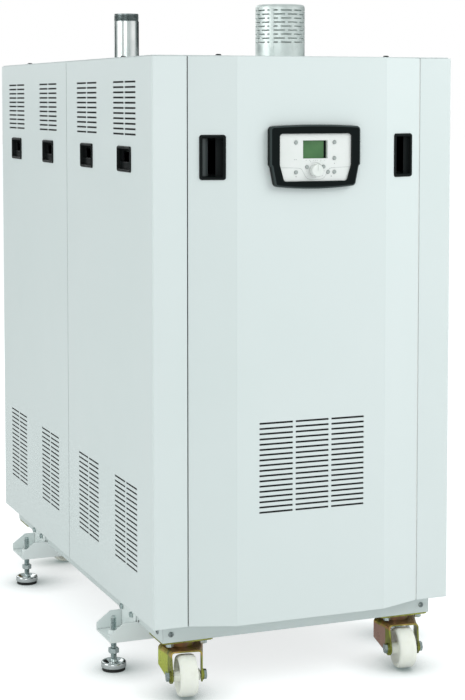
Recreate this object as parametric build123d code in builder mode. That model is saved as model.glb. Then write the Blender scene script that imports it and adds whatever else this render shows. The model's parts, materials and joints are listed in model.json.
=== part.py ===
from build123d import *
import os

# A cased floor-standing boiler on casters and levelling feet.
# Millimetres, +Z up, front towards -Y, origin on the floor under the middle of its box.

# Casing
casing_width = 620
casing_depth = 1120
casing_height = 1072
casing_floor_gap = 142
sheet = 1.5
fold_depth = 27
bend_radius = 3
corner_flange = 68
seam_gap = 2
front_bow = 31
front_facet_width = 308
top_margin = 3
top_sheet = 2
top_corner = 6
overrun = 2

# Base frame of folded C rails
rail_height = 60
rail_flange = 40
rail_wall = 3

# Insulated boiler body on the rails
body_seat = 18
body_top_gap = 54
body_corner = 25

# Ventilation slots
slot_length = 66
slot_height = 3.5
slot_gap = 6.5
slot_pitch = 10
side_slot_columns = 2
upper_slot_rows = 11
lower_slot_rows = 17
upper_slots_drop = 96
lower_slots_rise = 168
front_field_offset = 164.5
seam_field_offset = 147
rear_field_offset = 141.5
front_slot_length = 68.5
front_slot_gap = 6
front_slot_columns = 3
front_slot_rows = 18
front_slots_rise = 298

# Handle cups
cup_length = 84
cup_breadth = 50
cup_corner = 5
cup_rim = 3
cup_rim_proud = 2.5
cup_bevel_angle = 30
cup_pocket_taper = 6
cup_depth = 17
cup_wall = 1.5
cup_hole_clearance = 0.3
side_cup_drop = 194
front_cup_drop = 187

# Control unit
control_drop = 187
bezel_half_width = 93
bezel_half_height = 60
bezel_crown = 3
bezel_step_drop = 15
bezel_step = 3
bezel_foot_half_width = 82.5
bezel_foot_drop = 55
bezel_corner = 8
bezel_depth = 14
bezel_edge = 3
face_half_width = 74
face_top_rise = 43.5
face_waist_drop = 15
face_foot_half_width = 65
face_foot_drop = 46
face_corner = 6
face_depth = 10
face_clearance = 0.2
display_width = 50.5
display_height = 34
display_rise = 13.6
display_recess = 7
button_radius = 3.5
button_proud = 1.2
button_clearance = 0.4
upper_button_rise = 27
outer_button_offset = 39.5
middle_button_drop = 3
inner_button_offset = 17
inner_button_drop = 19
lower_button_drop = 29
lower_button_offset = 26.5
knob_radius = 11.5
knob_height = 12
knob_edge = 1.5
knob_drop = 25.5
knob_face_gap = 0.5
knob_dish_radius = 15
knob_dish_depth = 1
knob_groove_width = 1.6
knob_groove_depth = 0.8
spindle_radius = 3
spindle_clearance = 0.05
spindle_end_gap = 0.3

# Air inlet can on the top
inlet_radius = 50
inlet_wall = 1.5
inlet_proud = 111
inlet_edge = 6
inlet_offset = 48
inlet_setback = 241
inlet_slot_length = 22
inlet_slot_height = 2.5
inlet_slot_pitch = 8
inlet_slots_drop = 12
inlet_slot_rows = 9
inlet_slots_around = 11

# Pipes
pipe_radius = 30.15
pipe_wall = 3.65
pipe_clearance = 1
thread_length = 18
thread_radius = 28.7
flow_proud = 126
flow_offset = -35
flow_setback = 988
return_proud = 45
return_offset = -150
return_rise = 270
flue_radius = 77
flue_wall = 1.5
flue_proud = 45
flue_offset = 100
flue_rise = 270

# Casters
wheel_radius = 40
wheel_floor_gap = 2
wheel_half_width = 17.5
wheel_flat_share = 0.5
wheel_shoulder_share = 0.82
wheel_shoulder_drop = 1
wheel_edge_drop = 4
wheel_rim_thickness = 9
wheel_dish = 6
wheel_hub_radius = 11
axle_radius = 6
axle_clearance = 0.08
axle_head_across = 17
axle_head_length = 5.5
hub_side_gap = 0.5
caster_height = 104
caster_trail = 50
caster_plate_width = 105
caster_plate_length = 86
caster_plate_thickness = 3
caster_plate_corner = 10
race_radius = 27
race_plate_height = 5
race_fork_height = 7.7
race_gap = 0.3
fork_wall = 3
fork_shoulder = 8
fork_crown_radius = 31
fork_back = 4
fork_back_half = 44
fork_back_drop = 40
fork_crease = 34
fork_crease_half = 34
fork_front = 66
fork_front_half = 29.5
fork_brow = 54
fork_tip_radius = 14
fork_boss_radius = 10.5
fork_boss_half = 33.5
kingpin_radius = 5
kingpin_clearance = 0.2
kingpin_head_radius = 9
kingpin_head_height = 4
front_caster_turn = -8.5
rear_caster_turn = 90

# Outrigger brackets and levelling feet
bracket_width = 94
bracket_plate = 3
bracket_floor_rise = 68.5
bracket_reach = 28.5
bracket_tail = 70
bracket_end_height = 16
bracket_tongue_height = 18
bracket_setback = 225
foot_reach = 7
stud_radius = 6
stud_clearance = 0.05
stud_top = 108.5
weld_nut_across = 19
weld_nut_height = 10
foot_hex_across = 19
foot_hex_height = 10
foot_hex_rise = 34
foot_pad_radius = 25
foot_pad_edge = 3
foot_pad_height = 12
foot_dish_radius = 19
foot_dish_depth = 5
foot_neck_radius = 9
foot_neck_height = 9
sole_radius = 23
sole_height = 6

# Planes that the pieces share
front_reach = front_bow + face_depth + knob_face_gap + knob_height
rear_reach = max(flue_proud, return_proud)
whole_depth = front_reach + casing_depth + rear_reach
front_y = front_reach - whole_depth / 2
rear_y = front_y + casing_depth
middle_y = (front_y + rear_y) / 2
side_x = casing_width / 2
panel_bottom = casing_floor_gap
panel_top = casing_floor_gap + casing_height
base_bottom = wheel_floor_gap + caster_height
base_top = base_bottom + rail_height
base_width = casing_width - 2 * fold_depth
base_length = casing_depth - 2 * fold_depth
base_plane = Plane((0, middle_y, base_bottom))
side_cup_rise = casing_height - side_cup_drop
front_cup_rise = casing_height - front_cup_drop
control_rise = casing_height - control_drop
body_top = panel_top - body_top_gap
body_width = base_width - 2 * rail_flange + 2 * body_seat
body_length = base_length - 2 * rail_flange + 2 * body_seat
body_rear = middle_y + body_length / 2
facet_plane = Plane((0, front_y - front_bow, panel_bottom), x_dir=(1, 0, 0), z_dir=(0, -1, 0))
control_plane = facet_plane.shift_origin((0, front_y - front_bow, panel_bottom + control_rise))
left_plane = Plane((-side_x, 0, panel_bottom), x_dir=(0, -1, 0), z_dir=(-1, 0, 0))
front_half_width = side_x - corner_flange - seam_gap
facet_half_width = front_facet_width / 2
bevel_plane = Plane(
    (-(front_half_width + facet_half_width) / 2, front_y - front_bow / 2, panel_bottom + front_cup_rise),
    x_dir=(front_half_width - facet_half_width, -front_bow, 0),
    z_dir=(-front_bow, facet_half_width - front_half_width, 0),
)
inlet_place = (inlet_offset, front_y + inlet_setback)
flow_place = (flow_offset, front_y + flow_setback)
seam_y = middle_y
punch_reach = sheet + overrun
upper_slots_rise = casing_height - upper_slots_drop

pieces = {}


def mirrored(source, plane):
    """The mirror image of a finished piece."""
    with BuildPart() as image:
        add(source)
        mirror(about=plane, mode=Mode.REPLACE)
    return image.part


# Base frame: a ring of C section, open inwards, parted at its mitres
with BuildPart() as base_ring:
    with BuildSketch(base_plane):
        Rectangle(base_width, base_length)
        Rectangle(base_width - 2 * rail_flange, base_length - 2 * rail_flange, mode=Mode.SUBTRACT)
    extrude(amount=rail_height)
    with BuildSketch(base_plane.offset(rail_wall)):
        Rectangle(base_width - 2 * rail_wall, base_length - 2 * rail_wall)
    extrude(amount=rail_height - 2 * rail_wall, mode=Mode.SUBTRACT)


def rails(mode):
    """The rails outside or inside the two end wedges of the mitred ring."""
    with BuildPart() as rail_pair:
        add(base_ring.part)
        with BuildSketch(base_plane):
            for end in (-1, 1):
                with BuildLine():
                    Polyline(
                        (-base_width / 2, end * base_length / 2),
                        (base_width / 2, end * base_length / 2),
                        (0, end * (base_length - base_width) / 2),
                        close=True,
                    )
                make_face()
        extrude(amount=rail_height, mode=mode)
    return rail_pair.part


pieces["base_side_rails"] = rails(Mode.SUBTRACT)
pieces["base_end_rails"] = rails(Mode.INTERSECT)

# Insulated body that stands on the rails and shows dark behind the slots
with BuildPart() as boiler_body:
    with BuildSketch(Plane((0, middle_y, base_top))):
        RectangleRounded(body_width, body_length, body_corner)
    extrude(amount=body_top - base_top)
pieces["boiler_body"] = boiler_body.part


def side_punching(field_places):
    """Slot fields and cup holes of a left-hand side panel."""
    with BuildSketch(left_plane) as punching:
        for place in field_places:
            for rise, rows in ((upper_slots_rise, upper_slot_rows), (lower_slots_rise, lower_slot_rows)):
                with Locations((-place, rise)):
                    with GridLocations(slot_length + slot_gap, slot_pitch, side_slot_columns, rows):
                        Rectangle(slot_length, slot_height)
            with Locations((-place, side_cup_rise)):
                Rectangle(cup_length - 2 * cup_rim, cup_breadth - 2 * cup_rim)
    return punching.sketch


front_fields = (front_y + front_field_offset, seam_y - seam_field_offset)
rear_fields = (seam_y + seam_field_offset, rear_y - rear_field_offset)

# Front side panel: wraps the corner and carries folded returns on every free edge
with BuildPart() as left_front_side_panel:
    with BuildSketch(Plane.XY.offset(panel_bottom)):
        with BuildLine():
            Polyline(
                (-side_x, front_y),
                (-side_x + corner_flange, front_y),
                (-side_x + corner_flange, front_y + fold_depth),
                (-side_x + fold_depth, front_y + fold_depth),
                (-side_x + fold_depth, seam_y - seam_gap / 2),
                (-side_x, seam_y - seam_gap / 2),
                close=True,
            )
        make_face()
    extrude(amount=casing_height)
    corner = left_front_side_panel.edges().filter_by(Axis.Z).group_by(Axis.X)[0].sort_by(Axis.Y)[0]
    fillet(corner, bend_radius)
    inner_side = left_front_side_panel.faces().filter_by(Axis.X).sort_by(Axis.X)[1]
    inner_front = left_front_side_panel.faces().filter_by(Axis.Y).sort_by(Axis.Y)[1]
    offset(amount=-sheet, openings=[inner_side, inner_front], kind=Kind.INTERSECTION)
    extrude(side_punching(front_fields), amount=punch_reach, both=True, mode=Mode.SUBTRACT)
pieces["left_front_side_panel"] = left_front_side_panel.part
pieces["right_front_side_panel"] = mirrored(left_front_side_panel.part, Plane.YZ)

with BuildPart() as left_rear_side_panel:
    with BuildSketch(Plane.XY.offset(panel_bottom)):
        with BuildLine():
            Polyline(
                (-side_x, seam_y + seam_gap / 2),
                (-side_x + fold_depth, seam_y + seam_gap / 2),
                (-side_x + fold_depth, rear_y),
                (-side_x, rear_y),
                close=True,
            )
        make_face()
    extrude(amount=casing_height)
    corner = left_rear_side_panel.edges().filter_by(Axis.Z).group_by(Axis.X)[0].sort_by(Axis.Y)[-1]
    fillet(corner, bend_radius)
    inner_side = left_rear_side_panel.faces().filter_by(Axis.X).sort_by(Axis.X)[-1]
    offset(amount=-sheet, openings=inner_side, kind=Kind.INTERSECTION)
    extrude(side_punching(rear_fields), amount=punch_reach, both=True, mode=Mode.SUBTRACT)
pieces["left_rear_side_panel"] = left_rear_side_panel.part
pieces["right_rear_side_panel"] = mirrored(left_rear_side_panel.part, Plane.YZ)

# Front panel: a three-facet tray with returns all round
with BuildPart() as front_panel:
    with BuildSketch(Plane.XY.offset(panel_bottom)):
        with BuildLine():
            Polyline(
                (-front_half_width, front_y + fold_depth),
                (-front_half_width, front_y),
                (-facet_half_width, front_y - front_bow),
                (facet_half_width, front_y - front_bow),
                (front_half_width, front_y),
                (front_half_width, front_y + fold_depth),
                close=True,
            )
        make_face()
    extrude(amount=casing_height)
    fillet(front_panel.edges().filter_by(Axis.Z).group_by(Axis.Y)[0], bend_radius)
    back = front_panel.faces().filter_by(Axis.Y).sort_by(Axis.Y)[-1]
    offset(amount=-sheet, openings=back, kind=Kind.INTERSECTION)
    with BuildSketch(facet_plane):
        with Locations((0, front_slots_rise)):
            with GridLocations(
                front_slot_length + front_slot_gap, slot_pitch, front_slot_columns, front_slot_rows
            ):
                Rectangle(front_slot_length, slot_height)
    extrude(amount=punch_reach, both=True, mode=Mode.SUBTRACT)
    with BuildSketch(bevel_plane):
        Rectangle(cup_breadth - 2 * cup_rim, cup_length - 2 * cup_rim)
    bevel_cut = extrude(amount=punch_reach, both=True, mode=Mode.SUBTRACT)
    mirror(bevel_cut, about=Plane.YZ, mode=Mode.SUBTRACT)
pieces["front_panel"] = front_panel.part

# Top panel, laid on the returns of the side panels
with BuildPart() as top_panel:
    with BuildSketch(Plane((0, middle_y, panel_top))):
        RectangleRounded(casing_width - 2 * top_margin, casing_depth - 2 * top_margin, top_corner)
    extrude(amount=top_sheet)
    with BuildSketch(Plane.XY.offset(panel_top)):
        with Locations(inlet_place):
            Circle(inlet_radius + pipe_clearance)
        with Locations(flow_place):
            Circle(pipe_radius + pipe_clearance)
    extrude(amount=top_sheet, mode=Mode.SUBTRACT)
pieces["top_panel"] = top_panel.part

# Rear panel: a flat tray between the returns of the rear side panels
rear_plane = Plane((0, rear_y, panel_bottom), x_dir=(-1, 0, 0), z_dir=(0, 1, 0))
with BuildPart() as rear_panel:
    with BuildSketch(rear_plane):
        with Locations((0, casing_height / 2)):
            Rectangle(base_width - 2 * seam_gap, casing_height)
    extrude(amount=-fold_depth)
    inner = rear_panel.faces().filter_by(Axis.Y).sort_by(Axis.Y)[0]
    offset(amount=-sheet, openings=inner, kind=Kind.INTERSECTION)
    with BuildSketch(rear_plane):
        with Locations((-flue_offset, flue_rise)):
            Circle(flue_radius + pipe_clearance)
        with Locations((-return_offset, return_rise)):
            Circle(pipe_radius + pipe_clearance)
    extrude(amount=punch_reach, both=True, mode=Mode.SUBTRACT)
pieces["rear_panel"] = rear_panel.part


def handle_cups(face_plane, places, across, up):
    """Recessed finger cups: a bevelled rim on the sheet and a tapering tub through it."""
    with BuildPart() as cups:
        with BuildSketch(face_plane):
            with Locations(*places):
                RectangleRounded(across, up, cup_corner)
        extrude(amount=cup_rim_proud, taper=cup_bevel_angle)
        tub_inset = 2 * (cup_rim + cup_hole_clearance)
        with BuildSketch(face_plane):
            with Locations(*places):
                Rectangle(across - tub_inset, up - tub_inset)
        extrude(amount=-cup_depth)
        pocket_inset = tub_inset + 2 * cup_wall
        with BuildSketch(face_plane.offset(cup_rim_proud)):
            with Locations(*places):
                Rectangle(across - pocket_inset, up - pocket_inset)
        extrude(
            amount=cup_wall - cup_depth - cup_rim_proud, taper=cup_pocket_taper, mode=Mode.SUBTRACT
        )
    return cups.part


side_cup_places = [(-place, side_cup_rise) for place in (*front_fields, *rear_fields)]
left_cups = handle_cups(left_plane, side_cup_places, cup_length, cup_breadth)
pieces["left_side_handle_cups"] = left_cups
pieces["right_side_handle_cups"] = mirrored(left_cups, Plane.YZ)
with BuildPart() as front_handle_cups:
    add(handle_cups(bevel_plane, [(0, 0)], cup_breadth, cup_length))
    mirror(about=Plane.YZ)
pieces["front_handle_cups"] = front_handle_cups.part


def bezel_outline():
    """Crowned top and foot, straight upper sides, and a stepped taper below."""
    with BuildSketch(control_plane) as outline:
        with BuildLine():
            for side in (-1, 1):
                Polyline(
                    (side * bezel_half_width, bezel_half_height - bezel_crown),
                    (side * bezel_half_width, -bezel_step_drop),
                    (side * (bezel_half_width - bezel_step), -bezel_step_drop - bezel_step),
                    (side * bezel_foot_half_width, -bezel_foot_drop),
                )
            ThreePointArc(
                (-bezel_half_width, bezel_half_height - bezel_crown),
                (0, bezel_half_height),
                (bezel_half_width, bezel_half_height - bezel_crown),
            )
            ThreePointArc(
                (-bezel_foot_half_width, -bezel_foot_drop),
                (0, -bezel_half_height),
                (bezel_foot_half_width, -bezel_foot_drop),
            )
        make_face()
        levels = outline.vertices().group_by(Axis.Y)
        fillet(levels[0] + levels[-1], bezel_corner)
    return outline.sketch


def face_outline(inset):
    """The white face, straight above its waist and tapering below it."""
    with BuildSketch(control_plane) as outline:
        with BuildLine():
            Polyline(
                (-face_half_width + inset, face_top_rise - inset),
                (face_half_width - inset, face_top_rise - inset),
                (face_half_width - inset, -face_waist_drop),
                (face_foot_half_width - inset, -face_foot_drop + inset),
                (-face_foot_half_width + inset, -face_foot_drop + inset),
                (-face_half_width + inset, -face_waist_drop),
                close=True,
            )
        make_face()
        fillet(outline.vertices(), face_corner)
    return outline.sketch


with BuildPart() as control_bezel:
    extrude(bezel_outline(), amount=bezel_depth)
    front_face = control_bezel.faces().sort_by(Axis.Y)[0]
    chamfer(front_face.edges(), bezel_edge)
    extrude(face_outline(0), amount=bezel_depth, mode=Mode.SUBTRACT)
pieces["control_bezel"] = control_bezel.part

button_places = [
    (-outer_button_offset, upper_button_rise),
    (outer_button_offset, upper_button_rise),
    (outer_button_offset, -middle_button_drop),
    (-inner_button_offset, -inner_button_drop),
    (inner_button_offset, -inner_button_drop),
    (-outer_button_offset, -lower_button_drop),
    (lower_button_offset, -lower_button_drop),
    (outer_button_offset, -lower_button_drop),
]
knob_place = (0, -knob_drop)

with BuildPart() as control_face:
    extrude(face_outline(face_clearance), amount=face_depth)
    with BuildSketch(control_plane):
        with Locations((0, display_rise)):
            Rectangle(display_width, display_height)
        with Locations(*button_places):
            Circle(button_radius + button_clearance)
        with Locations(knob_place):
            Circle(spindle_radius + spindle_clearance)
    extrude(amount=face_depth, mode=Mode.SUBTRACT)
    with BuildSketch(control_plane.offset(face_depth)):
        with Locations(knob_place):
            Circle(knob_dish_radius)
    extrude(amount=-knob_dish_depth, mode=Mode.SUBTRACT)
pieces["control_face"] = control_face.part

with BuildPart() as display_screen:
    with BuildSketch(control_plane):
        with Locations((0, display_rise)):
            Rectangle(display_width - 2 * face_clearance, display_height - 2 * face_clearance)
    extrude(amount=face_depth - display_recess)
pieces["display_screen"] = display_screen.part

with BuildPart() as control_buttons:
    with BuildSketch(control_plane):
        with Locations(*button_places):
            Circle(button_radius)
    extrude(amount=face_depth + button_proud)
pieces["control_buttons"] = control_buttons.part

with BuildPart() as control_knob:
    with BuildSketch(control_plane.offset(spindle_end_gap)):
        with Locations(knob_place):
            Circle(spindle_radius)
    extrude(amount=face_depth + knob_face_gap - spindle_end_gap)
    with BuildSketch(control_plane.offset(face_depth + knob_face_gap)):
        with Locations(knob_place):
            Circle(knob_radius)
    extrude(amount=knob_height)
    fillet(control_knob.faces().sort_by(Axis.Y)[0].edges(), knob_edge)
    with BuildSketch(control_plane.offset(face_depth + knob_face_gap + knob_height)):
        with Locations((0, -knob_drop + knob_radius / 2)):
            Rectangle(knob_groove_width, knob_radius)
    extrude(amount=-knob_groove_depth, mode=Mode.SUBTRACT)
pieces["control_knob"] = control_knob.part

# Air inlet: a closed can with staggered rows of slots, standing on the body
inlet_top = panel_top + inlet_proud
with BuildPart() as air_inlet:
    with BuildSketch(Plane((*inlet_place, body_top))):
        Circle(inlet_radius)
    extrude(amount=inlet_top - body_top)
    fillet(air_inlet.faces().sort_by(Axis.Z)[-1].edges(), inlet_edge)
    offset(amount=-inlet_wall, openings=air_inlet.faces().sort_by(Axis.Z)[0])
    for row in range(inlet_slot_rows):
        row_height = inlet_top - inlet_slots_drop - row * inlet_slot_pitch
        stagger = (row % 2) * (360 / inlet_slots_around) / 2
        with Locations((*inlet_place, row_height)):
            with PolarLocations(inlet_radius, inlet_slots_around, start_angle=stagger):
                Box(4 * inlet_wall, inlet_slot_length, inlet_slot_height, mode=Mode.SUBTRACT)
pieces["air_inlet"] = air_inlet.part


def threaded_pipe(end_plane, length):
    """A steel pipe whose end, at the plane, is cut down for its thread."""
    with BuildPart() as pipe:
        with BuildSketch(end_plane):
            Circle(pipe_radius)
        extrude(amount=-length)
        with BuildSketch(end_plane):
            Circle(pipe_radius)
            Circle(thread_radius, mode=Mode.SUBTRACT)
        extrude(amount=-thread_length, mode=Mode.SUBTRACT)
        with BuildSketch(end_plane):
            Circle(pipe_radius - pipe_wall)
        extrude(amount=-length, mode=Mode.SUBTRACT)
    return pipe.part


flow_top = panel_top + flow_proud
pieces["flow_pipe"] = threaded_pipe(Plane((*flow_place, flow_top)), flow_top - body_top)
return_end = Plane(
    (return_offset, rear_y + return_proud, panel_bottom + return_rise), z_dir=(0, 1, 0)
)
pieces["return_pipe"] = threaded_pipe(return_end, rear_y + return_proud - body_rear)

with BuildPart() as flue_socket:
    flue_end = Plane((flue_offset, rear_y + flue_proud, panel_bottom + flue_rise), z_dir=(0, 1, 0))
    with BuildSketch(flue_end):
        Circle(flue_radius)
        Circle(flue_radius - flue_wall, mode=Mode.SUBTRACT)
    extrude(amount=body_rear - rear_y - flue_proud)
pieces["flue_socket"] = flue_socket.part

# Outrigger bracket: an upturned channel under the rail with a sloped nose and a bolted tongue
foot_x = -side_x - foot_reach
foot_y = front_y + bracket_setback
bracket_floor = bracket_floor_rise + bracket_plate
rail_x = -side_x + fold_depth
with BuildPart() as front_left_bracket:
    with BuildSketch(Plane((0, foot_y, 0), x_dir=(1, 0, 0), z_dir=(0, -1, 0))):
        with BuildLine():
            Polyline(
                (-side_x - bracket_reach, bracket_floor_rise),
                (-side_x + bracket_tail, bracket_floor_rise),
                (-side_x + bracket_tail, base_bottom),
                (-side_x, base_bottom),
                (-side_x - bracket_reach, bracket_floor_rise + bracket_end_height),
                close=True,
            )
        make_face()
    extrude(amount=bracket_width / 2, both=True)
    with BuildSketch(Plane((-side_x, foot_y, bracket_floor))):
        Rectangle(4 * bracket_tail, bracket_width - 2 * bracket_plate)
    extrude(amount=base_bottom - bracket_floor, mode=Mode.SUBTRACT)
    with BuildSketch(Plane((rail_x - bracket_plate / 2, foot_y, bracket_floor))):
        Rectangle(bracket_plate, bracket_width - 2 * bracket_plate)
    extrude(amount=base_bottom + bracket_tongue_height - bracket_floor)
    with BuildSketch(Plane((foot_x, foot_y, bracket_floor))):
        RegularPolygon(weld_nut_across / 2, 6, major_radius=False)
    extrude(amount=weld_nut_height)
    with BuildSketch(Plane((foot_x, foot_y, bracket_floor_rise))):
        Circle(stud_radius + stud_clearance)
    extrude(amount=bracket_plate + weld_nut_height, mode=Mode.SUBTRACT)

depth_mirror = Plane.XZ.offset(-middle_y)
with BuildPart() as left_foot_brackets:
    add(front_left_bracket.part)
    mirror(about=depth_mirror)
pieces["left_foot_brackets"] = left_foot_brackets.part
pieces["right_foot_brackets"] = mirrored(left_foot_brackets.part, Plane.YZ)


# Levelling foot: a threaded stud with a spanner hex, on a thick pad with a dished top
pad_top = sole_height + foot_pad_height
dish_floor = pad_top - foot_dish_depth
with BuildPart() as levelling_foot:
    with BuildSketch(Plane.XZ):
        with BuildLine():
            Polyline(
                (0, sole_height),
                (foot_pad_radius, sole_height),
                (foot_pad_radius, pad_top - foot_pad_edge),
                (foot_pad_radius - foot_pad_edge, pad_top),
                (foot_dish_radius, pad_top),
                (foot_neck_radius, dish_floor),
                (foot_neck_radius, dish_floor + foot_neck_height),
                (stud_radius, dish_floor + foot_neck_height),
                (stud_radius, stud_top),
                (0, stud_top),
                close=True,
            )
        make_face()
    revolve(axis=Axis.Z)
    with BuildSketch(Plane.XY.offset(foot_hex_rise)):
        RegularPolygon(foot_hex_across / 2, 6, major_radius=False)
    extrude(amount=foot_hex_height)

with BuildPart() as rubber_sole:
    with BuildSketch():
        Circle(sole_radius)
    extrude(amount=sole_height)

# Casters, built about the swivel axis and trailing towards -Y
axle_rise = wheel_floor_gap + wheel_radius
plate_bottom = base_bottom - caster_plate_thickness
race_split = plate_bottom - race_plate_height
crown_top = race_split - race_gap - race_fork_height
crown_bottom = crown_top - fork_wall
axle_place = (-caster_trail, axle_rise)

# Top plate with its upper race and the riveted kingpin
with BuildPart() as caster_plate:
    with BuildSketch(Plane.XY.offset(plate_bottom)):
        RectangleRounded(caster_plate_width, caster_plate_length, caster_plate_corner)
    extrude(amount=caster_plate_thickness)
    with BuildSketch(Plane.XY.offset(plate_bottom)):
        Circle(race_radius)
    extrude(amount=-race_plate_height)
    with BuildSketch(Plane.XY.offset(race_split)):
        Circle(kingpin_radius)
    extrude(amount=crown_bottom - kingpin_clearance - race_split)
    with BuildSketch(Plane.XY.offset(crown_bottom - kingpin_clearance)):
        Circle(kingpin_head_radius)
    extrude(amount=-kingpin_head_height)


def fork_block(inset, top, shoulder_radius):
    """The fork's outside or inside: drawn in towards the wheel in two facets, with round shoulders."""
    back_half = fork_back_half - inset
    crease_half = fork_crease_half - inset
    front_half = fork_front_half - inset
    with BuildPart() as block:
        with BuildSketch():
            with BuildLine():
                Polyline(
                    (-back_half, fork_back),
                    (-crease_half, -fork_crease),
                    (-front_half, -fork_front),
                    (front_half, -fork_front),
                    (crease_half, -fork_crease),
                    (back_half, fork_back),
                    close=True,
                )
            make_face()
        extrude(amount=top)
        shoulders = block.faces().sort_by(Axis.Z)[-1].edges().filter_by(Axis.X, reverse=True)
        fillet(shoulders, shoulder_radius)
    return block.part


# Pressed fork: two legs under a round crown that carries the lower race
with BuildPart() as caster_fork:
    add(fork_block(0, crown_top, fork_shoulder))
    add(fork_block(fork_wall, crown_bottom, fork_shoulder - fork_wall), mode=Mode.SUBTRACT)
    with BuildSketch(Plane.YZ):
        with Locations(axle_place):
            Circle(fork_tip_radius)
        with BuildLine():
            Polyline(
                (fork_back, crown_top),
                (fork_back, crown_top - fork_back_drop),
                (-fork_brow, crown_top),
                close=True,
            )
        make_hull()
    extrude(amount=fork_back_half, both=True, mode=Mode.INTERSECT)
    with BuildSketch(Plane.XY.offset(crown_bottom)):
        Circle(fork_crown_radius)
    extrude(amount=fork_wall)
    with BuildSketch(Plane.XY.offset(crown_top)):
        Circle(race_radius)
    extrude(amount=race_fork_height)
    for side in (-1, 1):
        with BuildSketch(Plane.YZ.offset(side * fork_boss_half)):
            with Locations(axle_place):
                Circle(fork_boss_radius)
        extrude(amount=side * (fork_front_half - fork_boss_half))
    with BuildSketch(Plane.XY.offset(crown_bottom)):
        Circle(kingpin_radius + kingpin_clearance)
    extrude(amount=fork_wall + race_fork_height, mode=Mode.SUBTRACT)
    with BuildSketch(Plane.YZ):
        with Locations(axle_place):
            Circle(axle_radius + axle_clearance)
    extrude(amount=fork_boss_half, both=True, mode=Mode.SUBTRACT)

# Axle: a through bolt with a hex head on each boss
with BuildPart() as caster_axle:
    with BuildSketch(Plane.YZ):
        with Locations(axle_place):
            Circle(axle_radius)
    extrude(amount=fork_boss_half, both=True)
    for side in (-1, 1):
        with BuildSketch(Plane.YZ.offset(side * fork_boss_half)):
            with Locations(axle_place):
                RegularPolygon(axle_head_across / 2, 6, major_radius=False)
        extrude(amount=side * axle_head_length)

# Nylon wheel: crowned tread, dished sides and a hub that runs between the legs
hub_half = fork_front_half - fork_wall - hub_side_gap
edge_radius = wheel_radius - wheel_edge_drop
dish_radius = edge_radius - wheel_rim_thickness
web_half = wheel_half_width - wheel_dish
with BuildPart() as caster_wheel:
    with BuildSketch(Plane((0, -caster_trail, axle_rise), x_dir=(1, 0, 0), z_dir=(0, -1, 0))):
        with BuildLine():
            Polyline(
                (0, wheel_radius),
                (wheel_flat_share * wheel_half_width, wheel_radius),
                (wheel_shoulder_share * wheel_half_width, wheel_radius - wheel_shoulder_drop),
                (wheel_half_width, edge_radius),
                (wheel_half_width, dish_radius + wheel_dish),
                (web_half, dish_radius),
                (web_half, wheel_hub_radius),
                (hub_half, wheel_hub_radius),
                (hub_half, axle_radius + axle_clearance),
                (0, axle_radius + axle_clearance),
                close=True,
            )
        make_face()
        mirror(about=Plane.YZ)
    revolve(axis=Axis((0, -caster_trail, axle_rise), (1, 0, 0)))


def placed(source, places):
    """Copies of a finished piece at its places."""
    with BuildPart() as copies:
        with Locations(*places):
            add(source)
    return copies.part


caster_x = base_width / 2 - caster_plate_width / 2
caster_reach = base_length / 2 - caster_plate_length / 2
corners = {
    "front_left": (-1, -1, front_caster_turn),
    "front_right": (1, -1, front_caster_turn),
    "rear_left": (-1, 1, rear_caster_turn),
    "rear_right": (1, 1, rear_caster_turn),
}
caster_places = [(side * caster_x, middle_y + end * caster_reach, 0) for side, end, turn in corners.values()]
pieces["caster_plates"] = placed(caster_plate.part, caster_places)

for (corner_name, (side, end, turn)), caster_place in zip(corners.items(), caster_places):
    swivel = Location(caster_place, (0, 0, turn))
    pieces[corner_name + "_caster_fork"] = placed(caster_fork.part, [swivel])
    pieces[corner_name + "_caster_axle"] = placed(caster_axle.part, [swivel])
    pieces[corner_name + "_caster_wheel"] = placed(caster_wheel.part, [swivel])
    foot_place = (-side * foot_x, middle_y - end * (foot_y - middle_y), 0)
    pieces[corner_name + "_foot"] = placed(levelling_foot.part, [foot_place])
    pieces[corner_name + "_foot_sole"] = placed(rubber_sole.part, [foot_place])

os.makedirs("parts", exist_ok=True)
for piece_name, piece in pieces.items():
    piece.label = piece_name
    export_step(piece, f"parts/{piece_name}.step")
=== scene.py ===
"""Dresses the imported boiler: finishes, finger pulls, feet, fasteners, threads and panel markings."""
import json
import math

import bpy
from mathutils import Matrix, Vector


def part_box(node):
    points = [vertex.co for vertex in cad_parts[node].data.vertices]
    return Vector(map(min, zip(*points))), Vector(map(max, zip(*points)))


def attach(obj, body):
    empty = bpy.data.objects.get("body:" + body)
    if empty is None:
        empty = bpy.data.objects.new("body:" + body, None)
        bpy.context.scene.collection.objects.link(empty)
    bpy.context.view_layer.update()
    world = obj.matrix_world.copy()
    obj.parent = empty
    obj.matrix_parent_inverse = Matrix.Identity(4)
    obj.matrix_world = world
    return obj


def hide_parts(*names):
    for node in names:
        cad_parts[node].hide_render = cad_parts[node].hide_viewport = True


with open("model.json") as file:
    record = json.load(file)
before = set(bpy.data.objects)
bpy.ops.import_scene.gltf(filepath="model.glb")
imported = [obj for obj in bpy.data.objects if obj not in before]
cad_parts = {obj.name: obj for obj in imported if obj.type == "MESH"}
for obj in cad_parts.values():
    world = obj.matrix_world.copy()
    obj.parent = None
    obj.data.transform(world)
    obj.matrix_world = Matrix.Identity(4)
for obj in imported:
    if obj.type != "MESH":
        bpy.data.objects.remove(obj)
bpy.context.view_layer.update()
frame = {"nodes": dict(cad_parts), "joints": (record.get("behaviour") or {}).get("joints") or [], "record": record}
record = frame["record"]
joints = {joint["name"]: joint for joint in frame["joints"]}
openings = {opening["name"]: opening for opening in record["physics"]["openings"]}
corners = ("front_left", "front_right", "rear_left", "rear_right")
smooth_angle = math.radians(32)


# Modelling by hand

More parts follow.
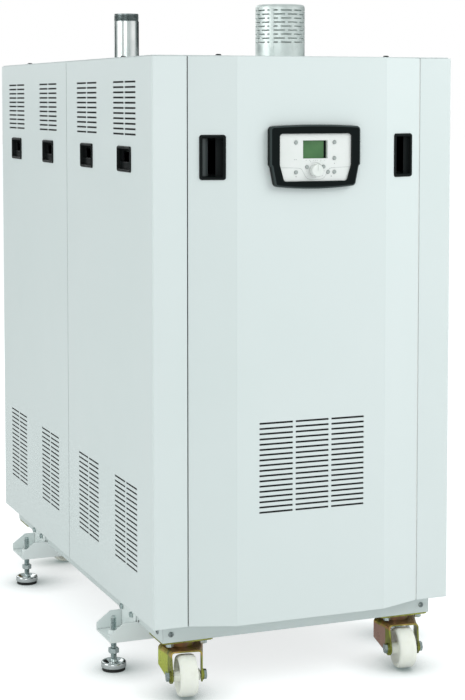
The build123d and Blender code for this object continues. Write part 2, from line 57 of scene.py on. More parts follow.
def deselect_all():
    """Operators act on all that is selected, so each piece starts from nothing."""
    if bpy.context.mode != "OBJECT":
        bpy.ops.object.mode_set(mode="OBJECT")
    bpy.ops.object.select_all(action="DESELECT")


def work_on(piece):
    """Select one piece alone, in object mode."""
    deselect_all()
    piece.select_set(True)
    bpy.context.view_layer.objects.active = piece
    return piece


def fix_place(piece):
    """Take a piece's place, turn and size into its mesh."""
    work_on(piece)
    bpy.ops.object.transform_apply(location=True, rotation=True, scale=True)
    return piece


def start_with(primitive, scale=(1, 1, 1), **settings):
    """A primitive at its place and size, to be shaped further."""
    deselect_all()
    primitive(**settings)
    piece = bpy.context.object
    piece.scale = scale
    return fix_place(piece)


def edit_all(piece, kind=None):
    """Enter edit mode with the whole of a piece selected, as edges or faces where that matters."""
    work_on(piece)
    bpy.ops.object.mode_set(mode="EDIT")
    if kind is not None:
        bpy.ops.mesh.select_mode(type=kind)
    bpy.ops.mesh.select_all(action="SELECT")


def pick(piece, kind, wanted):
    """Enter edit mode with only the wanted faces or edges selected."""
    work_on(piece)
    bpy.ops.object.mode_set(mode="EDIT")
    bpy.ops.mesh.select_mode(type=kind)
    bpy.ops.mesh.select_all(action="DESELECT")
    bpy.ops.object.mode_set(mode="OBJECT")
    parts = piece.data.polygons if kind == "FACE" else piece.data.edges
    for part in parts:
        part.select = wanted(part)
    bpy.ops.object.mode_set(mode="EDIT")


def close_up(piece):
    """Cap every open ring of a mesh and turn its faces outwards."""
    edit_all(piece, "EDGE")
    bpy.ops.mesh.fill_holes(sides=0)
    bpy.ops.mesh.select_all(action="SELECT")
    bpy.ops.mesh.normals_make_consistent(inside=False)
    bpy.ops.object.mode_set(mode="OBJECT")
    return piece


def apply_modifier(piece, kind, **settings):
    """Add a modifier, set it and apply it."""
    work_on(piece)
    modifier = piece.modifiers.new(kind.lower(), kind)
    for setting, value in settings.items():
        setattr(modifier, setting, value)
    bpy.ops.object.modifier_apply(modifier=modifier.name)
    return piece


def turned(rings, sides):
    """A turned solid about Z, drawn ring by ring from (radius, height) pairs, lowest first."""
    radius, height = rings[0]
    piece = start_with(
        bpy.ops.mesh.primitive_circle_add,
        vertices=sides, radius=radius, fill_type="NGON", location=(0, 0, height),
    )
    edit_all(piece, "FACE")
    for next_radius, next_height in rings[1:]:
        rise = (0, 0, next_height - height)
        bpy.ops.mesh.extrude_region_move(TRANSFORM_OT_translate={"value": rise})
        growth = next_radius / radius
        bpy.ops.transform.resize(value=(growth, growth, 1))
        radius, height = next_radius, next_height
    return close_up(piece)


def hexagon(across, low, high, chamfer):
    """A hexagonal nut or bolt head about Z with both its ends chamfered."""
    nearly_level = 0.9
    piece = start_with(
        bpy.ops.mesh.primitive_cylinder_add,
        vertices=6,
        radius=across / math.sqrt(3),
        depth=high - low - 2 * chamfer,
        location=(0, 0, (high + low) / 2),
    )
    for way in (1, -1):
        pick(piece, "FACE", lambda face: face.normal.z * way > nearly_level)
        bpy.ops.mesh.inset(thickness=2 * chamfer, depth=chamfer)
    bpy.ops.object.mode_set(mode="OBJECT")
    return piece


def thread(core, crest, pitch, low, high, steps):
    """A helical ridge about Z, wound by a screw modifier from a four-cornered section."""
    axial_share = 0.47
    piece = start_with(
        bpy.ops.mesh.primitive_circle_add,
        scale=(crest - core, axial_share * pitch, 1),
        vertices=4, radius=1, location=(core, 0, low + pitch / 2), rotation=(math.pi / 2, 0, 0),
    )
    turns = int((high - low - pitch) / pitch)
    apply_modifier(
        piece, "SCREW", axis="Z", angle=2 * math.pi, screw_offset=pitch, iterations=turns,
        steps=steps, render_steps=steps, use_merge_vertices=False,
    )
    return close_up(piece)


def joined(name, *parts):
    """Several parts made one piece."""
    deselect_all()
    for part in parts:
        part.select_set(True)
    bpy.context.view_layer.objects.active = parts[0]
    if len(parts) > 1:
        bpy.ops.object.join()
    parts[0].name = name
    return parts[0]


def copies(model, name, places):
    """Copies of a model at the given places, each with its own mesh, joined as one piece."""
    made = []
    for place in places:
        twin = model.copy()
        twin.data = model.data.copy()
        bpy.context.collection.objects.link(twin)
        twin.matrix_world = place
        made.append(twin)
    return fix_place(joined(name, *made))


def discard(*models):
    """Take away models that were only there to be copied."""
    for model in models:
        bpy.data.objects.remove(model)


def facing(place, outward, upward=(0, 0, 1)):
    """A place whose Z axis points outward and whose Y axis points as nearly upward as it can."""
    z_axis = Vector(outward).normalized()
    x_axis = Vector(upward).cross(z_axis).normalized()
    y_axis = z_axis.cross(x_axis)
    turn = Matrix((x_axis, y_axis, z_axis)).transposed().to_4x4()
    return Matrix.Translation(place) @ turn


def dress(piece, slot, body="root", finish=None):
    """Shade a finished piece, give it its slot's finish or another and hang it on a body."""
    work_on(piece)
    bpy.ops.object.shade_smooth_by_angle(angle=smooth_angle)
    piece.data.materials.clear()
    piece.data.materials.append(finishes[finish or slot])
    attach(piece, body)
    return piece


def lay_out(model, name, places, slot, body="root", finish=None):
    """Copies of a model as one finished piece."""
    return dress(copies(model, name, places), slot, body, finish)


# Nodes

def feed(tree, socket, value):
    """Link a socket to another node's output, or set it to a constant."""
    if isinstance(value, bpy.types.NodeSocket):
        tree.links.new(value, socket)
    else:
        socket.default_value = value


def feed_row(tree, node, *values):
    """Feed a node's sockets in their order."""
    for socket, value in zip(node.inputs, values):
        feed(tree, socket, value)
    return node


def feed_named(tree, node, **values):
    """Feed a node's sockets by name, with underscores for the spaces in a name."""
    for name, value in values.items():
        feed(tree, node.inputs[name.replace("_", " ")], value)
    return node


def add_node(tree, kind, **values):
    """A node with its named sockets fed."""
    return feed_named(tree, tree.nodes.new("ShaderNode" + kind), **values)


def work_out(tree, operation, *values, kind="Math", result="Value"):
    """The result of a maths node."""
    node = tree.nodes.new("ShaderNode" + kind)
    node.operation = operation
    return feed_row(tree, node, *values).outputs[result]


def remap(tree, value, **limits):
    """A value taken from one range to another."""
    return add_node(tree, "MapRange", Value=value, **limits).outputs["Result"]


def component(tree, vector, axis):
    """One of a vector's three numbers."""
    return add_node(tree, "SeparateXYZ", Vector=vector).outputs[axis]


# Shared effects

def new_group(name, outputs, **inputs):
    """An empty shader node group; an input without a value is a vector."""
    group = bpy.data.node_groups.new(name, "ShaderNodeTree")
    for socket, value in inputs.items():
        kind = "NodeSocketVector" if value is None else "NodeSocketFloat"
        entry = group.interface.new_socket(socket, in_out="INPUT", socket_type=kind)
        if value is not None:
            entry.default_value = value
    for socket, kind in outputs.items():
        group.interface.new_socket(socket, in_out="OUTPUT", socket_type="NodeSocket" + kind)
    return group, group.nodes.new("NodeGroupInput").outputs, group.nodes.new("NodeGroupOutput")


def make_mottle():
    """Slow cloudy variation between two values."""
    group, given, result = new_group(
        "mottle", {"Value": "Float"}, Vector=None, Scale=10.0, Low=0.0, High=1.0
    )
    noise = add_node(
        group, "TexNoise", Vector=given["Vector"], Scale=given["Scale"], Detail=4.0, Roughness=0.55
    )
    spread = remap(
        group, noise.outputs["Fac"],
        From_Min=0.32, From_Max=0.68, To_Min=given["Low"], To_Max=given["High"],
    )
    feed_named(group, result, Value=spread)
    return group


def make_grain():
    """Fine surface relief: orange peel in a coating or spark texture in a moulding."""
    wide_share = 0.23
    group, given, result = new_group(
        "surface_grain", {"Height": "Float"}, Vector=None, Scale=900.0, Coarse=0.4
    )
    slower = work_out(group, "MULTIPLY", given["Scale"], wide_share)
    fine = add_node(group, "TexNoise", Vector=given["Vector"], Scale=given["Scale"], Detail=2.0)
    wide = add_node(group, "TexNoise", Vector=given["Vector"], Scale=slower, Detail=1.0)
    blend = add_node(
        group, "Mix", Factor=given["Coarse"], A=fine.outputs["Fac"], B=wide.outputs["Fac"]
    )
    feed_named(group, result, Height=blend.outputs["Result"])
    return group


def make_dust():
    """Faint dust that gathers low down and on faces that look up."""
    group, given, result = new_group("settled_dust", {"Mask": "Float"}, Vector=None, Reach=0.3)
    height = component(group, given["Vector"], "Z")
    low = remap(group, height, From_Max=given["Reach"], To_Min=1.0, To_Max=0.0)
    lie = component(group, add_node(group, "NewGeometry").outputs["Normal"], "Z")
    up = remap(group, lie, From_Min=0.4, From_Max=1.0, To_Max=0.6)
    cloud = add_node(group, "TexNoise", Vector=given["Vector"], Scale=38.0, Detail=5.0)
    most = work_out(group, "MAXIMUM", low, up)
    feed_named(group, result, Mask=work_out(group, "MULTIPLY", most, cloud.outputs["Fac"]))
    return group


def make_soft_edge():
    """The rounding of a fold or moulded edge, as a normal and as a mask along the edge."""
    group, given, result = new_group("soft_edge", {"Normal": "Vector", "Mask": "Float"}, Radius=0.001)
    rounding = add_node(group, "Bevel", Radius=given["Radius"])
    rounding.samples = 6
    rounded = rounding.outputs["Normal"]
    flat = add_node(group, "NewGeometry").outputs["Normal"]
    agree = work_out(group, "DOT_PRODUCT", rounded, flat, kind="VectorMath")
    feed_named(group, result, Normal=rounded, Mask=remap(group, agree, From_Min=0.98, From_Max=0.75))
    return group


def make_spangle():
    """Crystals of a zinc coat: a tone for each crystal."""
    wander = (0.012, 0.012, 0.012)
    group, given, result = new_group("zinc_spangle", {"Tone": "Float"}, Vector=None, Scale=90.0)
    noise = add_node(group, "TexNoise", Vector=given["Vector"], Scale=60.0, Detail=2.0)
    shifted = work_out(
        group, "MULTIPLY_ADD", noise.outputs["Color"], wander, given["Vector"],
        kind="VectorMath", result="Vector",
    )
    crystal = add_node(group, "TexVoronoi", Vector=shifted, Scale=given["Scale"])
    tone = add_node(group, "RGBToBW", Color=crystal.outputs["Color"])
    feed_named(group, result, Tone=tone.outputs["Val"])
    return group


def make_painted_shade():
    """Painted shade: how far a spot lies in a gap, a slot or a recess, from ambient occlusion, as a mask that
    darkens colour there.
    """
    group, given, result = new_group("painted_shade", {"Mask": "Float"}, Distance=0.004, Onset=0.92)
    shelter = add_node(group, "AmbientOcclusion", Distance=given["Distance"])
    shelter.samples = 6
    closed = remap(group, shelter.outputs["AO"], From_Min=given["Onset"], From_Max=0.25)
    feed_named(group, result, Mask=closed)
    return group


groups = {
    "mottle": make_mottle(),
    "grain": make_grain(),
    "dust": make_dust(),
    "soft_edge": make_soft_edge(),
    "spangle": make_spangle(),
    "painted_shade": make_painted_shade(),
}


# Finishes

def new_finish(name, **sockets):
    """A material with constants on its own shader and object coordinates to pattern it."""
    finish = bpy.data.materials.new(name)
    finish.use_nodes = True
    tree = finish.node_tree
    shader = feed_named(tree, tree.nodes["Principled BSDF"], **sockets)
    return finish, tree, shader, add_node(tree, "TexCoord").outputs["Object"]


def add_effect(tree, name, where=None, **values):
    """What one of the shared effects puts out with its own values."""
    node = tree.nodes.new("ShaderNodeGroup")
    node.node_tree = groups[name]
    if where is not None:
        values["Vector"] = where
    return feed_named(tree, node, **values).outputs


def tint(tree, factor, first, second, share=None):
    """A colour that runs from the first to the second with a factor, or with a share of it."""
    if share is not None:
        factor = work_out(tree, "MULTIPLY", factor, share)
    mix = tree.nodes.new("ShaderNodeMix")
    mix.data_type = "RGBA"
    colours = [socket for socket in mix.inputs if socket.type == "RGBA"]
    for socket, colour in zip(colours, (first, second)):
        feed(tree, socket, (*colour, 1) if isinstance(colour, tuple) else colour)
    feed_named(tree, mix, Factor=factor)
    return next(socket for socket in mix.outputs if socket.type == "RGBA")


def mottled(tree, where, low, high, scale):
    """A colour that drifts between two over the surface."""
    return tint(tree, add_effect(tree, "mottle", where, Scale=scale)["Value"], low, high)


def colour_ramp(tree, factor, stops):
    """A colour looked up along a row of stops."""
    ramp = add_node(tree, "ValToRGB", Fac=factor)
    row = ramp.color_ramp.elements
    while len(row) < len(stops):
        row.new(0.5)
    for stop, (place, colour) in zip(row, stops):
        stop.position = place
        stop.color = (*colour, 1)
    return ramp.outputs["Color"]


def roughen(tree, shader, where, scale, low, high):
    """Roughness that drifts over the surface."""
    drift = add_effect(tree, "mottle", where, Scale=scale, Low=low, High=high)
    feed_named(tree, shader, Roughness=drift["Value"])


def relief(tree, shader, height, depth, strength, normal=None):
    """Bump from a height, on top of a rounded normal where there is one."""
    bump = add_node(tree, "Bump", Height=height, Strength=strength, Distance=depth)
    if normal is not None:
        feed_named(tree, bump, Normal=normal)
    feed_named(tree, shader, Normal=bump.outputs["Normal"])


def roughcast(tree, shader, where, scale, coarse, depth, strength, radius=None, normal=None):
    """The shared grain as relief, over edges rounded to a radius where there is one."""
    grain = add_effect(tree, "grain", where, Scale=scale, Coarse=coarse)
    if radius is not None:
        normal = add_effect(tree, "soft_edge", Radius=radius)["Normal"]
    relief(tree, shader, grain["Height"], depth, strength, normal)


def make_powder_coat(name, low, high):
    """Satin off-white coating with orange peel, softened folds, a little dust low down and painted shade in its
    gaps, slots and inside corners.
    """
    settled, gap_shade_colour = (0.56, 0.56, 0.52), (0.012, 0.014, 0.014)
    finish, tree, shader, where = new_finish(name, Specular_IOR_Level=0.25)
    dust = add_effect(tree, "dust", where, Reach=0.26)["Mask"]
    dusty = tint(tree, dust, mottled(tree, where, low, high, scale=1.7), settled, share=0.12)
    # Painted shade: gaps, slots, seams and inside corners darken almost to black.
    gap_shade = add_effect(tree, "painted_shade", Distance=0.0045, Onset=0.60)["Mask"]
    feed_named(tree, shader, Base_Color=tint(tree, gap_shade, dusty, gap_shade_colour, share=0.92))
    roughen(tree, shader, where, scale=9.0, low=0.34, high=0.44)
    roughcast(tree, shader, where, scale=620.0, coarse=0.55, depth=0.00025, strength=0.12, radius=0.0016)
    return finish


def make_jacket():
    """Black glass-cloth facing of the insulation, whose black stands in for the shade seen through the slots."""
    finish, tree, shader, where = new_finish("body_jacket")
    cloth = mottled(tree, where, (0.006, 0.006, 0.006), (0.014, 0.014, 0.014), scale=14.0)
    feed_named(tree, shader, Base_Color=cloth)
    roughen(tree, shader, where, scale=30.0, low=0.75, high=0.9)
    roughcast(tree, shader, where, scale=380.0, coarse=0.3, depth=0.0006, strength=0.4)
    return finish


def make_black_plastic(name, sheen, smooth, rough, plain, slope_highlight, shelter):
    """Black moulding with a fine spark texture: paler slopes and edges as painted highlight, darker pockets as
    painted shade.
    """
    painted_edge_highlight, pocket_shade_colour = (0.044, 0.053, 0.053), (0.0008, 0.001, 0.001)
    # Faces between front and side take the slope tone, on the bezel a paler painted highlight.
    leans = ((0.40, plain), (0.55, slope_highlight), (0.82, slope_highlight), (0.94, plain))
    finish, tree, shader, where = new_finish(name, Specular_IOR_Level=sheen)
    lie = component(tree, add_node(tree, "NewGeometry").outputs["True Normal"], "Y")
    skin = colour_ramp(tree, remap(tree, lie, From_Min=0.0, From_Max=-1.0), leans)
    edge = add_effect(tree, "soft_edge", Radius=0.0024)
    # Painted highlight: the edges are paled.
    edge_highlighted = tint(tree, edge["Mask"], skin, painted_edge_highlight, share=0.7)
    # Painted shade: pockets darken by the given share.
    pocket_shade_mask = add_effect(tree, "painted_shade", Distance=0.022)["Mask"]
    feed_named(tree, shader, Base_Color=tint(tree, pocket_shade_mask, edge_highlighted, pocket_shade_colour, share=shelter))
    roughen(tree, shader, where, scale=60.0, low=smooth, high=rough)
    roughcast(
        tree, shader, where, scale=2600.0, coarse=0.35, depth=0.00008, strength=0.25,
        normal=edge["Normal"],
    )
    return finish


def make_pale_plastic(name, low, high, smooth, rough):
    """A pale moulding, slightly uneven in tone, with softened edges."""
    finish, tree, shader, where = new_finish(name)
    feed_named(tree, shader, Base_Color=mottled(tree, where, low, high, scale=45.0))
    roughen(tree, shader, where, scale=80.0, low=smooth, high=rough)
    roughcast(tree, shader, where, scale=2200.0, coarse=0.4, depth=0.00005, strength=0.2, radius=0.0006)
    return finish


def make_display():
    """Green liquid-crystal window: fine cell rows behind a glossy pane."""
    finish, tree, shader, where = new_finish("display_glass", Coat_Weight=0.6, Coat_Roughness=0.06)
    cells = add_node(tree, "TexWave", Vector=where, Scale=420.0)
    cells.bands_direction = "Z"
    ground = mottled(tree, where, (0.048, 0.160, 0.050), (0.066, 0.190, 0.062), scale=35.0)
    rows = tint(tree, cells.outputs["Fac"], ground, (0.040, 0.125, 0.042), share=0.25)
    feed_named(tree, shader, Base_Color=rows)
    roughen(tree, shader, where, scale=70.0, low=0.30, high=0.40)
    return finish


def make_galvanised():
    """Zinc-coated sheet whose crystals differ in tone and gloss."""
    finish, tree, shader, where = new_finish("galvanised_steel", Metallic=0.85)
    crystal = add_effect(tree, "spangle", where, Scale=85.0)["Tone"]
    zinc = tint(tree, crystal, (0.78, 0.85, 0.83), (0.92, 0.98, 0.96))
    gloss = remap(tree, crystal, To_Min=0.38, To_Max=0.52)
    feed_named(tree, shader, Base_Color=zinc, Roughness=gloss)
    roughcast(tree, shader, where, scale=500.0, coarse=0.6, depth=0.0002, strength=0.1, radius=0.0008)
    return finish


def make_pipe_steel():
    """Bright plated pipe with drawing lines along it and a few dull smears."""
    finish, tree, shader, where = new_finish("pipe_steel", Metallic=1.0)
    stretch = add_node(tree, "Mapping", Vector=where, Scale=(1.0, 1.0, 0.02))
    lines = add_effect(tree, "mottle", stretch.outputs["Vector"], Scale=320.0)["Value"]
    plate = mottled(tree, where, (0.76, 0.80, 0.79), (0.86, 0.89, 0.88), scale=22.0)
    feed_named(tree, shader, Base_Color=tint(tree, lines, plate, (0.56, 0.60, 0.60), share=0.08))
    roughen(tree, shader, where, scale=26.0, low=0.14, high=0.28)
    relief(tree, shader, lines, depth=0.00001, strength=0.03)
    return finish


def make_yellow_zinc():
    """Yellow chromated zinc: its hue drifts over the forks and turns to gold, copper and olive above; painted
    shade darkens inner legs and fork insides.
    """
    crown_low, race_low, plate_low, crease_y, blend = 0.080, 0.0900, 0.1025, -0.5195, 0.0015
    flow_share, half_width = 0.12, 0.31
    olive, moss, leaf = (0.22, 0.22, 0.045), (0.40, 0.44, 0.075), (0.60, 0.66, 0.10)
    gold, copper, rose = (0.52, 0.42, 0.09), (0.62, 0.28, 0.13), (0.58, 0.36, 0.29)
    shade, settled = (0.045, 0.045, 0.012), (0.45, 0.42, 0.30)
    sheet_hues_with_painted_shade = (
        (0.085, leaf), (0.12, olive), (0.25, moss), (0.50, moss),
        (0.77, rose), (0.825, rose), (0.86, olive), (0.95, moss),
    )
    facet_hues = ((0.40, olive), (0.62, moss))
    crown_hues = ((0.38, olive), (0.48, gold), (0.60, copper), (0.70, gold))
    race_hues = ((0.40, copper), (0.58, rose), (0.66, gold))
    finish, tree, shader, where = new_finish("yellow_zinc", Metallic=0.72)
    noise = add_node(tree, "TexNoise", Vector=where, Scale=24.0, Detail=3.0, Distortion=1.3)
    flow = noise.outputs["Fac"]

    def beyond(axis, limit, below, above):
        """One colour up to a limit along an axis, another beyond it."""
        spot = component(tree, where, axis)
        step = remap(tree, spot, From_Min=limit - blend, From_Max=limit + blend)
        return tint(tree, step, below, above)

    # Painted shade: the hue follows the place across the cabinet, turning the right-hand leg of each left caster
    # dark olive.
    across = remap(
        tree, component(tree, where, "X"),
        From_Min=-half_width, From_Max=half_width, To_Min=-0.06, To_Max=0.94,
    )
    shaded_sheet = colour_ramp(tree, work_out(tree, "MULTIPLY_ADD", flow, flow_share, across), sheet_hues_with_painted_shade)
    facet = colour_ramp(tree, flow, facet_hues)
    leg = beyond("Y", crease_y, facet, shaded_sheet)
    fork = beyond("Z", crown_low, leg, colour_ramp(tree, flow, crown_hues))
    caster = beyond("Z", race_low, fork, colour_ramp(tree, flow, race_hues))
    colour = beyond("Z", plate_low, caster, facet)
    # Painted shade: the colour darkens inside the forks.
    inner = add_effect(tree, "painted_shade", Distance=0.03)["Mask"]
    sheltered = tint(tree, inner, colour, shade, share=0.55)
    dust = add_effect(tree, "dust", where, Reach=0.09)["Mask"]
    feed_named(tree, shader, Base_Color=tint(tree, dust, sheltered, settled, share=0.08))
    roughen(tree, shader, where, scale=55.0, low=0.24, high=0.40)
    roughcast(tree, shader, where, scale=700.0, coarse=0.5, depth=0.00015, strength=0.15, radius=0.0009)
    return finish


def make_bright_metal(name, low, high, smooth, rough):
    """Plated steel with soft patches of tone, fine handling marks and painted shade in its recesses and grooves.
    """
    finish, tree, shader, where = new_finish(name, Metallic=1.0)
    plated = mottled(tree, where, low, high, scale=90.0)
    # Painted shade: recesses and thread grooves darken almost to black.
    recess = add_effect(tree, "painted_shade", Distance=0.0011)["Mask"]
    feed_named(tree, shader, Base_Color=tint(tree, recess, plated, (0.015, 0.016, 0.016), share=0.9))
    roughen(tree, shader, where, scale=140.0, low=smooth, high=rough)
    roughcast(tree, shader, where, scale=1400.0, coarse=0.3, depth=0.00005, strength=0.15)
    return finish


def make_nylon():
    """White nylon, a little translucent, greyed where it rolls."""
    finish, tree, shader, where = new_finish(
        "nylon", Subsurface_Weight=0.18, Subsurface_Radius=(0.006, 0.006, 0.005), Subsurface_Scale=0.6
    )
    base = mottled(tree, where, (0.86, 0.87, 0.79), (0.89, 0.90, 0.83), scale=60.0)
    scuff = add_effect(tree, "mottle", where, Scale=42.0, Low=-0.5, High=0.35)["Value"]
    feed_named(tree, shader, Base_Color=tint(tree, scuff, base, (0.74, 0.75, 0.66)))
    roughen(tree, shader, where, scale=120.0, low=0.34, high=0.5)
    roughcast(tree, shader, where, scale=900.0, coarse=0.5, depth=0.0001, strength=0.2, radius=0.0012)
    return finish


def make_rubber():
    """Black moulded rubber with a dusty bloom."""
    finish, tree, shader, where = new_finish("rubber")
    dust = add_effect(tree, "dust", where, Reach=0.012)["Mask"]
    bloom = tint(tree, dust, (0.010, 0.010, 0.010), (0.08, 0.08, 0.075), share=0.2)
    feed_named(tree, shader, Base_Color=bloom)
    roughen(tree, shader, where, scale=200.0, low=0.55, high=0.75)
    roughcast(tree, shader, where, scale=1500.0, coarse=0.4, depth=0.0002, strength=0.3)
    return finish


# The values of a family stand in the order in which its function takes them

powder_coats = {
    "white_powder_coat": ((0.678, 0.744, 0.740), (0.702, 0.760, 0.760)),
    # The brackets' copy of the white coat is paler as painted light, the rails' copy greyer as painted shade.
    "bracket_coat_painted_light": ((0.800, 0.860, 0.855), (0.830, 0.885, 0.880)),
    "rail_coat_painted_shade": ((0.590, 0.655, 0.650), (0.615, 0.675, 0.670)),
}
# The scoop's paler black is a painted highlight on its ramp; its gloss is real.
pull_black, scoop_painted_highlight = (0.0068, 0.0090, 0.0090), (0.040, 0.050, 0.050)
# The bezel's paler slope tone is a painted highlight on its chamfers.
bezel_face, bezel_slope_highlight = (0.0055, 0.0085, 0.0085), (0.046, 0.060, 0.060)
black_plastics = {
    "black_plastic": (0.06, 0.30, 0.42, pull_black, pull_black, 0.7),
    "polished_black_painted_highlight": (0.5, 0.20, 0.26, scoop_painted_highlight, scoop_painted_highlight, 0.0),
    "bezel_black": (0.08, 0.28, 0.36, bezel_face, bezel_slope_highlight, 0.0),
}
pale_plastics = {
    "face_plastic": ((0.76, 0.79, 0.77), (0.79, 0.81, 0.80), 0.36, 0.46),
    "button_plastic": ((0.34, 0.38, 0.37), (0.40, 0.44, 0.43), 0.40, 0.50),
    "knob_plastic": ((0.74, 0.78, 0.75), (0.80, 0.83, 0.80), 0.28, 0.38),
    "marking_ink": ((0.16, 0.18, 0.18), (0.24, 0.26, 0.26), 0.5, 0.6),
}
bright_metals = {
    "bright_zinc": ((0.48, 0.57, 0.57), (0.66, 0.73, 0.72), 0.20, 0.34),
    "chrome": ((0.70, 0.74, 0.74), (0.80, 0.83, 0.83), 0.05, 0.13),
    "cut_steel": ((0.24, 0.28, 0.28), (0.34, 0.38, 0.38), 0.22, 0.36),
    "blackened_steel": ((0.05, 0.055, 0.055), (0.10, 0.105, 0.105), 0.3, 0.45),
}
finishes = {
    "body_jacket": make_jacket(),
    "display_glass": make_display(),
    "galvanised_steel": make_galvanised(),
    "pipe_steel": make_pipe_steel(),
    "yellow_zinc": make_yellow_zinc(),
    "nylon": make_nylon(),
    "rubber": make_rubber(),
}
families = (
    (make_powder_coat, powder_coats),
    (make_black_plastic, black_plastics),
    (make_pale_plastic, pale_plastics),
    (make_bright_metal, bright_metals),
)
for make_finish, family in families:
    for name, values in family.items():
        finishes[name] = make_finish(name, *values)

own_finishes = {
    "control_bezel": "bezel_black",
    # Brackets and rails take the lit and shaded copies of the white coat: painted light and painted shade.
    "left_foot_brackets": "bracket_coat_painted_light",
    "right_foot_brackets": "bracket_coat_painted_light",
    "base_side_rails": "rail_coat_painted_shade",
    "base_end_rails": "rail_coat_painted_shade",
}
for subpart in record["subparts"]:
    finish = own_finishes.get(subpart["node"], subpart["material_slot"])
    for material_slot in frame["nodes"][subpart["node"]].material_slots:
        material_slot.material = finishes[finish]


# Finger pulls

pull_length = 0.084


def model_pull():
    """A moulded pull, long way up: bevelled rim, rolled lip and a scooped pocket, outwards along Z."""
    breadth, corner, corner_steps, wall = 0.050, 0.005, 5, 0.0012
    steps = [
        (0.0002, 0.0006), (0.0011, 0.0019), (0.0030, 0.0), (0.0009, -0.0009),
        (0.0007, -0.0019), (0.0005, -0.004), (0.0006, -0.004), (0.0012, -0.0025),
        (0.0028, -0.0011),
    ]
    floor_tilt, hair = 0.002, 1e-5
    plate_middle, plate_breadth, plate_margin = 0.0120, 0.0132, 0.0062
    plate_sink, plate_thickness = 0.0042, 0.0016
    pull = start_with(bpy.ops.mesh.primitive_plane_add, scale=(breadth, pull_length, 1), size=1)
    edit_all(pull)
    bpy.ops.mesh.bevel(offset=corner, segments=corner_steps, affect="VERTICES")
    for thickness, depth in steps:
        bpy.ops.mesh.inset(thickness=thickness, depth=depth, use_boundary=True)
    bpy.ops.object.mode_set(mode="OBJECT")
    depth = min(vertex.co.z for vertex in pull.data.vertices)
    floor = [vertex for vertex in pull.data.vertices if vertex.co.z < depth + hair]
    reach = max(vertex.co.x for vertex in floor)
    for vertex in floor:
        vertex.co.z += floor_tilt * (vertex.co.x + reach) / (2 * reach)
    apply_modifier(pull, "SOLIDIFY", thickness=wall, offset=-1)
    finger_plate = start_with(
        bpy.ops.mesh.primitive_cube_add,
        scale=(plate_breadth, pull_length - 2 * plate_margin, plate_thickness),
        size=1, location=(plate_middle, 0, -plate_sink),
    )
    pick(finger_plate, "EDGE", lambda edge: True)
    bpy.ops.mesh.bevel(offset=plate_thickness / 3, segments=2)
    return joined("pull", pull, finger_plate)


def model_scoop():
    """Hollowed finger ramp down the near side of a front pull's pocket."""
    start, run, margin, sink, steps, wall = -0.0190, 0.0105, 0.0066, 0.0016, 12, 0.0009
    steep, curl = 0.30, 0.45
    scoop = start_with(
        bpy.ops.mesh.primitive_grid_add,
        scale=(run, pull_length - 2 * margin, 1),
        x_subdivisions=steps, y_subdivisions=2, size=1, location=(start + run / 2, 0, -sink),
    )
    for vertex in scoop.data.vertices:
        share = (vertex.co.x - start) / run
        vertex.co.z -= run * (steep * share + curl * share ** 2)
    return apply_modifier(scoop, "SOLIDIFY", thickness=wall, offset=-1)


def opening_centre(name):
    """Middle of a stated opening's box."""
    low, high = openings[name]["box_m"]
    return (Vector(low) + Vector(high)) / 2


panel_low, panel_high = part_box("left_front_side_panel")
front_low, front_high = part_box("front_panel")
facet_half_width = 0.154
bevel_run = front_high.x - facet_half_width
front_bow = panel_low.y - front_low.y
bevel_middle_x = (front_high.x + facet_half_width) / 2
bevel_middle_y = panel_low.y - front_bow / 2
side_spots = ("front", "front_inner", "rear_inner", "rear")

pull_model = model_pull()
for side, way in (("left", -1), ("right", 1)):
    places = []
    for spot in side_spots:
        middle = opening_centre(f"{side}_{spot}_cup")
        place = (way * -panel_low.x, middle.y, middle.z)
        places.append(facing(place, (way, 0, 0), (0, way, 0)))
    pulls = lay_out(pull_model, f"{side}_side_pulls", places, "black_plastic")
    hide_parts(f"{side}_side_handle_cups")
pull_height = opening_centre("front_left_cup").z
front_places = [
    facing((way * bevel_middle_x, bevel_middle_y, pull_height), (way * front_bow, -bevel_run, 0))
    for way in (-1, 1)
]
front_pulls = lay_out(pull_model, "front_pulls", front_places, "black_plastic")
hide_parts("front_handle_cups")
scoop_model = model_scoop()
# The scoops take the glossy black with the painted highlight.
lay_out(scoop_model, "front_pull_scoops", front_places, "black_plastic", finish="polished_black_painted_highlight")
discard(pull_model, scoop_model)


# Levelling feet

def model_foot_pad():
    """Chromed pad: upright skirt, rounded shoulder and a dished top round the stud's socket."""
    sides = 72
    rings = [
        (0.0240, 0.0060), (0.0250, 0.0070), (0.0250, 0.0142), (0.0247, 0.0157),
        (0.0239, 0.0170), (0.0228, 0.0178), (0.0214, 0.0180), (0.0199, 0.0177),
        (0.0180, 0.0166), (0.0150, 0.0147), (0.0120, 0.0135), (0.0096, 0.0131),
        (0.0090, 0.0134), (0.0088, 0.0150), (0.0084, 0.0158),
    ]
    return turned(rings, sides)


def model_foot_stud():
    """Zinc-plated stud with a rolled thread, a spanner hexagon and a swivel neck."""
    core, crest, pitch, thread_steps, sides = 0.0051, 0.0060, 0.00175, 20, 32
    neck_top, neck_step, top, tip_height, tip_taper = 0.0220, 0.0004, 0.1085, 0.0008, 0.0009
    hexagon_across, hexagon_low, hexagon_high, hexagon_chamfer = 0.019, 0.034, 0.044, 0.0006
    thread_top = top - tip_height
    rings = [
        (0.0076, 0.0145),
        (0.0076, 0.0176),
        (0.0070, 0.0190),
        (0.0070, 0.0206),
        (0.0062, neck_top),
        (core, neck_top + neck_step),
        (core, thread_top),
        (core - tip_taper, top),
    ]
    shaft = turned(rings, sides)
    nut = hexagon(hexagon_across, hexagon_low, hexagon_high, hexagon_chamfer)
    ridge = thread(core, crest, pitch, neck_top, thread_top, thread_steps)
    return joined("foot_stud", shaft, nut, ridge)


